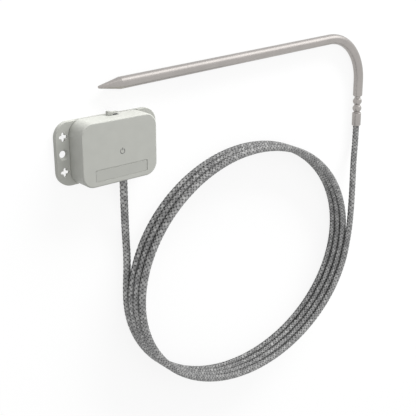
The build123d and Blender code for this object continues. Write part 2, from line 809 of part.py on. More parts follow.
with BuildPart() as probe_sheath:
    with BuildSketch(tip_section):
        with BuildLine():
            Polyline((0, 0), (tip_radius, 0), (probe_radius, tip_length), (0, tip_length), close=True)
        make_face()
    revolve(axis=tip_axis)
    fillet(probe_sheath.edges().sort_by(tip_axis)[0], tip_edge_radius)
    with BuildLine() as sheath_path:
        FilletPolyline(*tube_route(tip_length, 0), radius=probe_bend_radius)
    with BuildSketch(tip_plane.offset(tip_length)):
        Circle(probe_radius)
    sweep(path=sheath_path.wires()[0])
    with BuildSketch(leg_section):
        with BuildLine():
            Line((0, shoulder_start), (probe_radius, shoulder_start))
            TangentArc(
                (probe_radius, shoulder_start),
                (probe_radius - shoulder, crimp_start),
                tangent=(0, 1),
            )
            Line((probe_radius - shoulder, crimp_start), (neck_radius, crimp_start))
            neck_start = crimp_start
            for bead in range(bead_count):
                bead_start = crimp_start + first_neck_width + bead_pitch * bead
                bead_end = bead_start + bead_pitch - neck_width
                Line((neck_radius, neck_start), (neck_radius, bead_start))
                ThreePointArc(
                    (neck_radius, bead_start),
                    (sleeve_radius, (bead_start + bead_end) / 2),
                    (neck_radius, bead_end),
                )
                neck_start = bead_end
            Polyline(
                (neck_radius, neck_start),
                (neck_radius, sleeve_start),
                (sleeve_radius - shoulder, sleeve_start),
            )
            TangentArc(
                (sleeve_radius - shoulder, sleeve_start),
                (sleeve_radius, sleeve_start + shoulder),
                tangent=(1, 0),
            )
            Polyline(
                (sleeve_radius, sleeve_start + shoulder),
                (sleeve_radius, probe_leg_end - sleeve_edge),
                (sleeve_radius - sleeve_edge, probe_leg_end),
                (0, probe_leg_end),
                (0, shoulder_start),
            )
        make_face()
    revolve(axis=leg_axis)
    with BuildLine() as bore_path:
        FilletPolyline(*tube_route(tip_bore_start, 0), radius=probe_bend_radius)
    with BuildSketch(tip_plane.offset(tip_bore_start)):
        Circle(probe_bore_radius)
    sweep(path=bore_path.wires()[0], mode=Mode.SUBTRACT)
    with BuildSketch(Plane(probe_corner + probe_across * shoulder_start, z_dir=probe_across)):
        Circle(insert_radius + insert_clearance)
    extrude(amount=probe_leg_end - shoulder_start, mode=Mode.SUBTRACT)
save(probe_sheath, "probe_sheath")

# Insert in the crimped end, between the sensor's wires and the cable
with BuildPart() as crimp_insert:
    with BuildSketch(Plane(probe_corner + probe_across * shoulder_start, z_dir=probe_across)):
        Circle(insert_radius)
    extrude(amount=probe_leg_end - shoulder_start)
save(crimp_insert, "crimp_insert")

# Sensing element near the point, and its two wires through the bend
element_start = tip_bore_start + element_gap
element_end = element_start + element_length
with BuildPart() as sensing_element:
    with BuildSketch(tip_plane.offset(element_start)):
        Circle(element_radius)
    extrude(amount=element_length)
save(sensing_element, "sensing_element")

with BuildPart() as sensor_wires:
    for side in (-1, 1):
        wire_lift = side * sensor_wire_spacing / 2
        with BuildLine() as wire_path:
            FilletPolyline(*tube_route(element_end, wire_lift), radius=probe_bend_radius)
        with BuildSketch(tip_plane.offset(element_end)):
            with Locations((wire_lift, 0)):
                Circle(sensor_wire_radius)
        sweep(path=wire_path.wires()[0])
save(sensor_wires, "sensor_wires")

# Potting round the element and the start of its wires
with BuildPart() as tip_potting:
    with BuildSketch(tip_plane.offset(tip_bore_start)):
        Circle(probe_bore_radius - potting_clearance)
    extrude(amount=potting_length)
    with BuildSketch(tip_plane.offset(element_start)):
        Circle(element_radius + potting_clearance)
    extrude(amount=element_length, mode=Mode.SUBTRACT)
    with BuildSketch(tip_plane.offset(element_end)):
        with GridLocations(sensor_wire_spacing, 0, 2, 1):
            Circle(sensor_wire_radius + potting_clearance)
    extrude(amount=tip_bore_start + potting_length - element_end, mode=Mode.SUBTRACT)
save(tip_potting, "tip_potting")
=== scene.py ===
"""Looks of a wireless temperature sensor.

A small moulded case on a flanged back plate, a coil of braided cable and a bent steel probe, dressed and
lit as they lie on a pale studio floor.
"""

import json
import logging
import math
from collections.abc import Iterator
from contextlib import contextmanager
from dataclasses import dataclass, field
from enum import Enum
from functools import cached_property
from typing import Protocol

import bpy
import numpy as np
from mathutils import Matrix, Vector

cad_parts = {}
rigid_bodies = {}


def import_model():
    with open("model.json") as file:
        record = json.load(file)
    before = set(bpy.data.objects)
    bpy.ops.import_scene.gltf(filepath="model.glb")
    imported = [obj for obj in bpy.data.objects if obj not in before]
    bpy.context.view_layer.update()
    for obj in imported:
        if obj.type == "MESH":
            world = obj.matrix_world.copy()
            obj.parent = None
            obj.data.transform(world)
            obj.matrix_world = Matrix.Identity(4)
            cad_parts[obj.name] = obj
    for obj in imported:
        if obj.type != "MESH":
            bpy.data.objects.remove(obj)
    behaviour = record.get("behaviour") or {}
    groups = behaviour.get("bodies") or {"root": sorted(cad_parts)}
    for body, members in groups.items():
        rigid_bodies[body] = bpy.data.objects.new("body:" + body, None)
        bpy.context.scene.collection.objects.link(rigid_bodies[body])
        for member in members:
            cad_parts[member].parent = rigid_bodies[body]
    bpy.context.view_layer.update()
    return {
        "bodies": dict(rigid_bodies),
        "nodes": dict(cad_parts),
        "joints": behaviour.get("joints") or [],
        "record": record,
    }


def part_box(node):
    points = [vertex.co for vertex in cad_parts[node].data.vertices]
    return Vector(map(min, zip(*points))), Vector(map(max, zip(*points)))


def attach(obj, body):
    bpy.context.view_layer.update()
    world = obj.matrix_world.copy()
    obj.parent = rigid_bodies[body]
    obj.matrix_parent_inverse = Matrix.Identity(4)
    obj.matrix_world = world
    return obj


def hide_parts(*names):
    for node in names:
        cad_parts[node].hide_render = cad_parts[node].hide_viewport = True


LOG = logging.getLogger("temperature_sensor")
MM = 0.001
BODY = "root"
UP = (0.0, 0.0, 1.0)
WHITE = (1.0, 1.0, 1.0)

# Blender's noise stays within these values for the most part.
NOISE_LOW = 0.3
NOISE_MEAN = 0.5
NOISE_HIGH = 0.7
# Finer layers in the noise of a grain, of working marks and of clouds.
GRAIN_LAYERS = 2
MARK_LAYERS = 3
CLOUD_LAYERS = 4
# At this scale the bands of Blender's wave pattern are one metre apart.
WAVE_SCALE = 0.314
# A mix node lists its sockets for numbers and vectors before those for colours.
MIX_INPUTS = (0, 6, 7)
MIX_RESULT = 2

# Edges flatter than the first angle are shaded smooth, and edges sharper than the second are rounded.
SMOOTH_UNDER = math.radians(20)
ROUNDED_OVER = math.radians(50)
ROUNDING_STEPS = 2
# Points that are closer together than this are merged.
MERGED = 0.001 * MM
# A face looks down if the height of its normal is less than this.
LOOKS_DOWN = -0.9

Colour = tuple[float, float, float]
Point = tuple[float, float, float]
Material = bpy.types.Material
Piece = bpy.types.Object
Socket = bpy.types.NodeSocket


def tint(colour: Colour, share: float) -> Colour:
    """Return a colour made lighter or darker by a share."""
    return tuple(min(1.0, channel * share) for channel in colour)


class Graph:
    """Nodes of one material or of the world, added and joined by short calls."""

    def __init__(self, owner: Material | bpy.types.World) -> None:
        """Start with no nodes.

        Args:
            owner: The new material or world.
        """
        owner.use_nodes = True
        self.owner = owner
        self.tree = owner.node_tree
        self.tree.nodes.clear()

    def add(self, kind: str, **settings: object) -> bpy.types.Node:
        """Add a node.

        Args:
            kind: The node's type.
            settings: Properties of the node, by name.

        Returns:
            The new node.
        """
        node = self.tree.nodes.new(kind)
        for key, value in settings.items():
            setattr(node, key, value)
        return node

    def feed(self, socket: Socket, value: object) -> None:
        """Join a socket to another one, or set its own value.

        Args:
            socket: The input that takes the value.
            value: Another node's output, a number or a colour.
        """
        if isinstance(value, bpy.types.NodeSocket):
            self.tree.links.new(value, socket)
        elif isinstance(value, tuple):
            socket.default_value = (*value, 1.0)
        else:
            socket.default_value = value

    def math(self, operation: str, *values: object) -> Socket:
        """Work out one number.

        Args:
            operation: Name of the sum to do.
            values: Its numbers or outputs, in order.

        Returns:
            The result.
        """
        node = self.add("ShaderNodeMath", operation=operation)
        for socket, value in zip(node.inputs, values):
            self.feed(socket, value)
        return node.outputs[0]

    def place(self, stretch: tuple[float, float, float] = (1.0, 1.0, 1.0)) -> Socket:
        """Give the place on the part.

        Args:
            stretch: How much closer the pattern is packed along each axis.

        Returns:
            Coordinates in metres, stretched.
        """
        mapping = self.add("ShaderNodeMapping")
        mapping.inputs["Scale"].default_value = stretch
        self.feed(mapping.inputs["Vector"], self.add("ShaderNodeTexCoord").outputs["Object"])
        return mapping.outputs["Vector"]

    def noise(self, place: Socket, size: float, layers: int = GRAIN_LAYERS) -> Socket:
        """Add soft noise.

        Args:
            place: Coordinates.
            size: Width of one patch, in metres.
            layers: Number of finer layers.

        Returns:
            A value around one half.
        """
        node = self.add("ShaderNodeTexNoise")
        self.feed(node.inputs["Scale"], 1.0 / size)
        self.feed(node.inputs["Detail"], layers)
        self.feed(node.inputs["Vector"], place)
        return node.outputs["Fac"]

    def spread(
        self, value: Socket, low: float, high: float, start: float = NOISE_LOW, end: float = NOISE_HIGH
    ) -> Socket:
        """Stretch a value to a new range.

        Args:
            value: The value.
            low: Result at the start.
            high: Result at the end.
            start: Value that gives low.
            end: Value that gives high.

        Returns:
            The stretched value.
        """
        node = self.add("ShaderNodeMapRange")
        self.feed(node.inputs["Value"], value)
        for key, number in (("From Min", start), ("From Max", end), ("To Min", low), ("To Max", high)):
            self.feed(node.inputs[key], number)
        return node.outputs["Result"]

    def shade(self, value: Socket, dark: object, light: object) -> Socket:
        """Mix two colours by a value.

        Args:
            value: Share of the second colour.
            dark: First colour.
            light: Second colour.

        Returns:
            The mixed colour.
        """
        node = self.add("ShaderNodeMix", data_type="RGBA")
        for index, given in zip(MIX_INPUTS, (value, dark, light)):
            self.feed(node.inputs[index], given)
        return node.outputs[MIX_RESULT]

    def bump(self, height: Socket, depth: float) -> Socket:
        """Turn a height into a normal.

        Args:
            height: Height from 0 to 1.
            depth: Depth of the relief, in metres.

        Returns:
            The normal.
        """
        node = self.add("ShaderNodeBump")
        self.feed(node.inputs["Distance"], depth)
        self.feed(node.inputs["Height"], height)
        return node.outputs["Normal"]

    def seen_rays(self) -> Socket:
        """Tell what is looked at, straight or in metal and glass, from what only gives light.

        Returns:
            1 for the rays of the camera, of mirrors and of glass, and 0 for all others.
        """
        light = self.add("ShaderNodeLightPath")
        rays = light.outputs["Is Camera Ray"]
        for name in ("Is Glossy Ray", "Is Transmission Ray"):
            rays = self.math("MAXIMUM", rays, light.outputs[name])
        return rays

    def close(self, kind: str, shader: Socket) -> None:
        """Join the last shader to the output.

        Args:
            kind: Type of the output node.
            shader: The shader.
        """
        self.feed(self.add(kind).inputs["Surface"], shader)

    def surface(self, inputs: dict[str, object]) -> Material:
        """Close the material with its shader.

        Args:
            inputs: Values and outputs for the shader, by socket name.

        Returns:
            The finished material.
        """
        shader = self.add("ShaderNodeBsdfPrincipled")
        for key, value in inputs.items():
            self.feed(shader.inputs[key], value)
        self.close("ShaderNodeOutputMaterial", shader.outputs["BSDF"])
        return self.owner


class Finish(Protocol):
    """Anything that can make a material.

    Attributes:
        name: Name of the material.
    """

    name: str

    def material(self) -> Material:
        """Make the finish's material."""


class Working(Enum):
    """Ways in which a surface was worked, as the packing of its marks along each axis."""

    EVEN = (1.0, 1.0, 1.0)
    DRAWN_ALONG_X = (0.06, 1.0, 1.0)


@dataclass(frozen=True)
class GrainedFinish:
    """Surface with a fine grain and faint clouds of colour.

    Attributes:
        name: Name of the material.
        colour: Mean colour.
        roughness: Mean roughness.
        clouds: Share by which the colour wanders.
        grain: Width of one grain or working mark, in metres.
        relief: Depth of the grain, in metres.
        working: How the surface was worked.
        layers: Number of finer layers in the grain.
        roughness_play: How far the roughness wanders with the grain.
        cloud_size: Width of one cloud, in metres.
        metal: Share of the surface that is bare metal.
    """

    name: str
    colour: Colour
    roughness: float = 0.5
    clouds: float = 0.025
    grain: float = 0.3 * MM
    relief: float = 0.02 * MM
    working: Working = Working.EVEN
    layers: int = GRAIN_LAYERS
    roughness_play: float = 0.06
    cloud_size: float = 7 * MM
    metal: float = 0.0

    def material(self) -> Material:
        """Make the finish's material."""
        graph = Graph(bpy.data.materials.new(self.name))
        clouds = graph.spread(graph.noise(graph.place(), self.cloud_size, CLOUD_LAYERS), 0.0, 1.0)
        grain = graph.noise(graph.place(self.working.value), self.grain, self.layers)
        smoothest = self.roughness - self.roughness_play
        roughest = self.roughness + self.roughness_play
        return graph.surface(
            {
                "Base Color": graph.shade(
                    clouds, tint(self.colour, 1 - self.clouds), tint(self.colour, 1 + self.clouds)
                ),
                "Metallic": self.metal,
                "Roughness": graph.spread(grain, smoothest, roughest),
                "Normal": graph.bump(grain, self.relief),
            }
        )


@dataclass(frozen=True)
class MouldedPlastic(GrainedFinish):
    """Moulded plastic or rubber with a fine spark grain."""


@dataclass(frozen=True)
class SatinMetal(GrainedFinish):
    """Bare metal with fine working marks."""

    roughness: float = 0.3
    clouds: float = 0.05
    grain: float = 0.2 * MM
    relief: float = 0.004 * MM
    layers: int = MARK_LAYERS
    roughness_play: float = 0.07
    cloud_size: float = 11 * MM
    metal: float = 1.0


@dataclass(frozen=True)
class PrintedBoard:
    """Board laminate under lacquer, with paler tracks.

    Attributes:
        name: Name of the material.
        lacquer: Colour of the lacquer.
        tracks: Colour over the tracks.
        lacquer_roughness: Roughness of the lacquer.
        track_roughness: Roughness over the tracks.
        track_pitch: Spacing of the tracks, in metres.
        track_edge: Values of the wave at which a track's edge starts and ends.
        track_height: Height of the tracks, in metres.
        bends: How strongly the tracks bend.
        bend_scale: How closely the bends follow each other.
        break_size: Width of the fields without tracks, in metres.
        break_edge: Values of the noise at which the edge of such a field starts and ends.
    """

    name: str
    lacquer: Colour
    tracks: Colour
    lacquer_roughness: float = 0.32
    track_roughness: float = 0.24
    track_pitch: float = 1.2 * MM
    track_edge: tuple[float, float] = (0.55, 0.65)
    track_height: float = 0.03 * MM
    bends: float = 1.5
    bend_scale: float = 0.4
    break_size: float = 3 * MM
    break_edge: tuple[float, float] = (0.45, 0.5)

    def material(self) -> Material:
        """Make the board's material."""
        graph = Graph(bpy.data.materials.new(self.name))
        place = graph.place()
        wave = graph.add("ShaderNodeTexWave", bands_direction="Y")
        graph.feed(wave.inputs["Scale"], WAVE_SCALE / self.track_pitch)
        graph.feed(wave.inputs["Distortion"], self.bends)
        graph.feed(wave.inputs["Detail Scale"], self.bend_scale)
        graph.feed(wave.inputs["Vector"], place)
        bands = graph.spread(wave.outputs["Fac"], 0.0, 1.0, *self.track_edge)
        fields = graph.spread(graph.noise(place, self.break_size), 0.0, 1.0, *self.break_edge)
        tracks = graph.math("MULTIPLY", bands, fields)
        return graph.surface(
            {
                "Base Color": graph.shade(tracks, self.lacquer, self.tracks),
                "Roughness": graph.spread(tracks, self.lacquer_roughness, self.track_roughness, 0.0, 1.0),
                "Normal": graph.bump(tracks, self.track_height),
            }
        )


@dataclass(frozen=True)
class Weave:
    """Lay of the braid's strands, which the cable's mesh and its finish share.

    The cable's map counts strands round the cable in its first number and braid steps along it in its
    second, so their sum and difference count the two crossing sets of strands.

    Attributes:
        counts: Name of that map.
        carriers: Strands round the cable in each set.
        lift: How far a strand rises over one crossing and dips under the next.
        crown: How fast a strand falls off from its middle to its edges, on the same scale.
        gap: Height between the strands, on the same scale.
    """

    counts: str = "braid"
    carriers: int = 5
    lift: float = 0.7
    crown: float = 3.6
    gap: float = -0.5


WEAVE = Weave()


@dataclass(frozen=True)
class WovenBraid:
    """Braid of flat wire strands, drawn on the cable's own map, with painted shade in its gaps and
    underneath.

    Attributes:
        name: Name of the material.
        dark: Painted shade deep between the strands and on the cable's underside.
        mid: Colour of a dull strand.
        bright: Colour of a bright strand.
        dull_roughness: Roughness of a dull strand.
        bright_roughness: Roughness of a bright strand.
        metal: Share of the surface that is bare metal.
        rarity: How much rarer bright strands are than dull ones, as a power.
        weave: Lay of the strands.
        wires: Wires side by side in one strand.
        wire_depth: Share of the relief that the wires make up.
        relief: Depth of the strands' own relief, in metres.
        gap_edge: Heights at which the painted shade of the gaps ends and the strands' colour starts.
        tangle: Width of the knots in which loose wires lie, in metres.
        tangle_depth: Share of the relief that those knots make up.
        shade_patch: Length of the patches of painted shade in the crevices, in metres.
        shade_patch_depth: How much the painted shade differs from patch to patch.
        shade_edge: Values at which the painted shade ends and the lit braid starts.
        top_unshaded: How much less painted shade the strands' backs get than the gaps.
    """

    name: str
    dark: Colour
    mid: Colour
    bright: Colour
    dull_roughness: float = 0.74
    bright_roughness: float = 0.6
    metal: float = 0.9
    rarity: float = 1.6
    weave: Weave = WEAVE
    wires: float = 5.0
    wire_depth: float = 0.1
    relief: float = 0.12 * MM
    gap_edge: tuple[float, float] = (-0.05, 0.6)
    tangle: float = 0.9 * MM
    tangle_depth: float = 0.5
    shade_patch: float = 4 * MM
    shade_patch_depth: float = 0.5
    shade_edge: tuple[float, float] = (-0.1, 0.55)
    top_unshaded: float = 0.9

    def strands(
        self, graph: Graph, across: Socket, along: Socket, side: float
    ) -> tuple[Socket, Socket, Socket]:
        """Work out one set of strands.

        Args:
            graph: The material's nodes.
            across: Count across these strands.
            along: Count across the other strands, which is the place along these.
            side: Plus one or minus one, for the set that is on top at even crossings.

        Returns:
            Height of the strands, ridges of their wires and their number.
        """
        number = graph.math("ROUND", across)
        offset = graph.math("SUBTRACT", across, number)
        turn = graph.math("MULTIPLY", graph.math("ADD", along, number), math.pi)
        rise = graph.math("MULTIPLY", graph.math("COSINE", turn), side * self.weave.lift)
        fall = graph.math("MULTIPLY", graph.math("MULTIPLY", offset, offset), -self.weave.crown)
        wires = graph.math("COSINE", graph.math("MULTIPLY", offset, 2 * math.pi * self.wires))
        return graph.math("ADD", rise, fall), wires, number

    def chance(self, graph: Graph, left: Socket, right: Socket) -> Socket:
        """Give each crossing a value of its own.

        Args:
            graph: The material's nodes.
            left: Number of the strand in one set.
            right: Number of the strand in the other set.

        Returns:
            A value from 0 to 1, the same all over one crossing.
        """
        crossing = graph.add("ShaderNodeCombineXYZ")
        graph.feed(crossing.inputs["X"], left)
        graph.feed(crossing.inputs["Y"], right)
        value = graph.add("ShaderNodeTexWhiteNoise", noise_dimensions="2D")
        graph.feed(value.inputs["Vector"], crossing.outputs["Vector"])
        return value.outputs["Value"]

    def gap_and_underside_shade(self, graph: Graph, turn: Socket, height: Socket) -> Socket:
        """Paint shade in the gaps and on the cable's underside, in patches.

        Args:
            graph: The material's nodes.
            turn: Count of strands round the cable.
            height: Height of the strands.

        Returns:
            A value from 0, where painted shade hides the strands, to 1, where they are unshaded.
        """
        # Painted shade: strands darken as they face down and in the gaps, broken into patches by noise.
        upward = graph.math("SINE", graph.math("MULTIPLY", turn, 2 * math.pi / self.weave.carriers))
        patches = graph.math("SUBTRACT", graph.noise(graph.place(), self.shade_patch), NOISE_MEAN)
        unshaded = graph.math("MULTIPLY_ADD", height, self.top_unshaded, upward)
        unshaded = graph.math("MULTIPLY_ADD", patches, self.shade_patch_depth, unshaded)
        return graph.spread(unshaded, 0.0, 1.0, *self.shade_edge)

    def material(self) -> Material:
        """Make the braid's material."""
        graph = Graph(bpy.data.materials.new(self.name))
        counts = graph.add("ShaderNodeSeparateXYZ")
        braid_map = graph.add("ShaderNodeUVMap", uv_map=self.weave.counts)
        graph.feed(counts.inputs["Vector"], braid_map.outputs["UV"])
        turn = counts.outputs["X"]
        first = graph.math("ADD", turn, counts.outputs["Y"])
        second = graph.math("SUBTRACT", turn, counts.outputs["Y"])
        left, left_wires, left_number = self.strands(graph, first, second, 1.0)
        right, right_wires, right_number = self.strands(graph, second, first, -1.0)
        top = graph.math("GREATER_THAN", left, right)
        under = graph.math("SUBTRACT", 1.0, top)
        wires = graph.math("MULTIPLY_ADD", top, left_wires, graph.math("MULTIPLY", under, right_wires))
        highest = graph.math("MAXIMUM", left, right)
        height = graph.spread(highest, 0.0, 1.0, self.weave.gap, self.weave.lift)
        knots = graph.math("SUBTRACT", graph.noise(graph.place(), self.tangle, MARK_LAYERS), NOISE_MEAN)
        lined = graph.math("MULTIPLY_ADD", wires, self.wire_depth, height)
        lined = graph.math("MULTIPLY_ADD", knots, self.tangle_depth, lined)
        chance = self.chance(graph, left_number, right_number)
        strand = graph.shade(graph.math("POWER", chance, self.rarity), self.mid, self.bright)
        # Painted shade: the low parts between the strands take the dark colour.
        base = graph.shade(graph.spread(lined, 0.0, 1.0, *self.gap_edge), self.dark, strand)
        # Painted shade on the cable's underside and in its crevices.
        base = graph.shade(self.gap_and_underside_shade(graph, turn, height), self.dark, base)
        return graph.surface(
            {
                "Base Color": base,
                "Metallic": self.metal,
                "Roughness": graph.spread(chance, self.dull_roughness, self.bright_roughness, 0.0, 1.0),
                "Normal": graph.bump(lined, self.relief),
            }
        )


@dataclass(frozen=True)
class FloorPaint:
    """Pale studio floor, which the camera sees as white with a soft shadow on it.

    Attributes:
        name: Name of the material.
        lit: Colour that throws light back on the part.
        seen: Share of the floor's white that follows the light and shadow.
        glow: Strength of the rest, shown to the camera and to mirrors alone.
    """

    name: str
    lit: float = 0.8
    seen: float = 0.2
    glow: float = 0.82

    def material(self) -> Material:
        """Make the floor's material."""
        graph = Graph(bpy.data.materials.new(self.name))
        rays = graph.seen_rays()
        diffuse = graph.add("ShaderNodeBsdfDiffuse")
        graph.feed(diffuse.inputs["Color"], graph.shade(rays, (self.lit,) * 3, (self.seen,) * 3))
        glow = graph.add("ShaderNodeEmission")
        graph.feed(glow.inputs["Strength"], graph.math("MULTIPLY", rays, self.glow))
        both = graph.add("ShaderNodeAddShader")
        graph.feed(both.inputs[0], diffuse.outputs["BSDF"])
        graph.feed(both.inputs[1], glow.outputs["Emission"])
        graph.close("ShaderNodeOutputMaterial", both.outputs["Shader"])
        return graph.owner


CASE_COLOUR = (0.468, 0.474, 0.440)
# Rubber of the cover seal; the dark piece that is painted shade in the latch window wears it too.
SEAL_RUBBER_AND_LATCH_SHADE = MouldedPlastic("seal_rubber", (0.03, 0.03, 0.032), 0.7, 0.1)
MARK_INK = MouldedPlastic(
    "mark_ink", (0.15, 0.151, 0.147), 0.55, clouds=0.08, grain=0.15 * MM, relief=0.01 * MM
)
LABEL_FILM = MouldedPlastic(
    "label_film", tint(CASE_COLOUR, 0.925), 0.44, clouds=0.015, grain=0.2 * MM, relief=0.008 * MM
)
# The braid's first colour is painted shade, for its gaps and its underside.
CABLE_BRAID = WovenBraid("cable_braid", (0.04, 0.04, 0.041), (0.32, 0.32, 0.32), (0.485, 0.485, 0.48))

# These finishes have the names of the slots that they are for.
SLOT_FINISHES: tuple[Finish, ...] = (
    MouldedPlastic("case_plastic", CASE_COLOUR, 0.48),
    MouldedPlastic("plate_plastic", tint(CASE_COLOUR, 0.97), 0.5),
    SEAL_RUBBER_AND_LATCH_SHADE,
    PrintedBoard("board_laminate", (0.012, 0.11, 0.05), (0.03, 0.2, 0.09)),
    SatinMetal("screw_steel", (0.58, 0.57, 0.55), 0.28),
    MouldedPlastic("holder_plastic", (0.025, 0.025, 0.027), 0.45, 0.1),
    SatinMetal("contact_metal", (0.62, 0.6, 0.56), 0.25, working=Working.DRAWN_ALONG_X),
    SatinMetal("cell_steel", (0.6, 0.6, 0.59), 0.22, working=Working.DRAWN_ALONG_X),
    MouldedPlastic("grommet_rubber", (0.30, 0.30, 0.285), 0.62, 0.05),
    SatinMetal("ferrule_brass", (0.62, 0.45, 0.2), 0.26),
    MouldedPlastic("wire_insulation", (0.5, 0.05, 0.03), 0.4, 0.08),
    MouldedPlastic("terminal_plastic", (0.04, 0.16, 0.09), 0.42, 0.08),
    SatinMetal("electrode_copper", (0.7, 0.36, 0.22), 0.3, working=Working.DRAWN_ALONG_X),
    MouldedPlastic("led_lens", (0.62, 0.64, 0.5), 0.18, 0.05),
    SatinMetal("shield_metal", (0.6, 0.6, 0.58), 0.3, working=Working.DRAWN_ALONG_X),
    MouldedPlastic("antenna_ceramic", (0.62, 0.6, 0.52), 0.35, 0.05),
    MouldedPlastic("chip_plastic", (0.02, 0.02, 0.021), 0.5, 0.12),
    MouldedPlastic("capacitor_ceramic", (0.42, 0.3, 0.18), 0.4, 0.1),
    SatinMetal("probe_steel", (0.40, 0.378, 0.362), 0.34, 0.04, grain=0.12 * MM, relief=0.003 * MM),
    MouldedPlastic("insert_rubber", (0.05, 0.05, 0.052), 0.65, 0.1),
    MouldedPlastic("element_ceramic", (0.68, 0.66, 0.6), 0.4, 0.05),
    MouldedPlastic("potting_resin", (0.06, 0.055, 0.05), 0.3, 0.1),
)
FINISHES: dict[str, Finish] = {finish.name: finish for finish in SLOT_FINISHES}
# The braided cable hides the plain solids of this slot, so they get a plain finish.
FINISHES["cable_braid"] = SatinMetal("cable_core", (0.3, 0.3, 0.3), 0.4)


def clear_selection() -> None:
    """Deselect every object."""
    bpy.ops.object.select_all(action="DESELECT")


@contextmanager
def edit_mode() -> Iterator[None]:
    """Shape the active piece in edit mode."""
    bpy.ops.object.mode_set(mode="EDIT")
    yield
    bpy.ops.object.mode_set(mode="OBJECT")


def select_all() -> None:
    """Select the whole mesh in edit mode."""
    bpy.ops.mesh.select_all(action="SELECT")


def turn_outwards() -> None:
    """Turn all faces of the mesh outwards in edit mode."""
    select_all()
    bpy.ops.mesh.normals_make_consistent(inside=False)


def take_size(name: str, size: tuple[float, float, float]) -> Piece:
    """Name the primitive that was added last and give it its size.

    Args:
        name: Name of the piece and its mesh.
        size: Its sides along the primitive's own axes, in metres.

    Returns:
        The piece, with its place and size in its mesh.
    """
    piece = bpy.context.object
    piece.name = name
    piece.data.name = name
    piece.scale = size
    bpy.ops.object.transform_apply()
    return piece


def round_edges(piece: Piece, width: float) -> None:
    """Round the sharp edges of the active piece and shade it smooth.

    Args:
        piece: The piece.
        width: Width of the rounding, in metres.
    """
    rounding = piece.modifiers.new("rounding", "BEVEL")
    rounding.width = width
    rounding.segments = ROUNDING_STEPS
    rounding.angle_limit = ROUNDED_OVER
    bpy.ops.object.modifier_apply(modifier=rounding.name)
    bpy.ops.object.shade_smooth_by_angle(angle=SMOOTH_UNDER)


def dress(piece: Piece, material: Material) -> None:
    """Give a piece one material.

    Args:
        piece: The piece.
        material: Its finish.
    """
    piece.data.materials.clear()
    piece.data.materials.append(material)


def seat(piece: Piece, finish: Finish) -> None:
    """Fix a new piece to the part and dress it.

    Args:
        piece: The piece.
        finish: What it is dressed in.
    """
    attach(piece, BODY)
    dress(piece, finish.material())


@dataclass
class Wardrobe:
    """Finishes of the part's solids, each made once.

    Attributes:
        frame: The loaded solids and their record.
        made: Materials made so far, by slot.
    """

    frame: dict
    made: dict[str, Material] = field(default_factory=dict)

    def material(self, slot: str) -> Material:
        """Give a slot's material, which is made the first time it is asked for."""
        if slot not in self.made:
            self.made[slot] = FINISHES[slot].material()
        return self.made[slot]

    def dress(self, nodes: tuple[str, ...]) -> list[Piece]:
        """Give solids the finish of their slots.

        Args:
            nodes: Names of the solids.

        Returns:
            The dressed solids.
        """
        slots = {part["node"]: part["material_slot"] for part in self.frame["record"]["subparts"]}
        solids = [self.frame["nodes"][node] for node in nodes]
        for node, solid in zip(nodes, solids):
            dress(solid, self.material(slots[node]))
            LOG.info("dressed %s in %s", node, slots[node])
        return solids


@dataclass
class Assembly:
    """Group of the part's solids.

    Attributes:
        nodes: Names of the solids.
    """

    nodes: tuple[str, ...]

    def dress_solids(self, wardrobe: Wardrobe) -> list[Piece]:
        """Dress the group's solids and return them."""
        return wardrobe.dress(self.nodes)


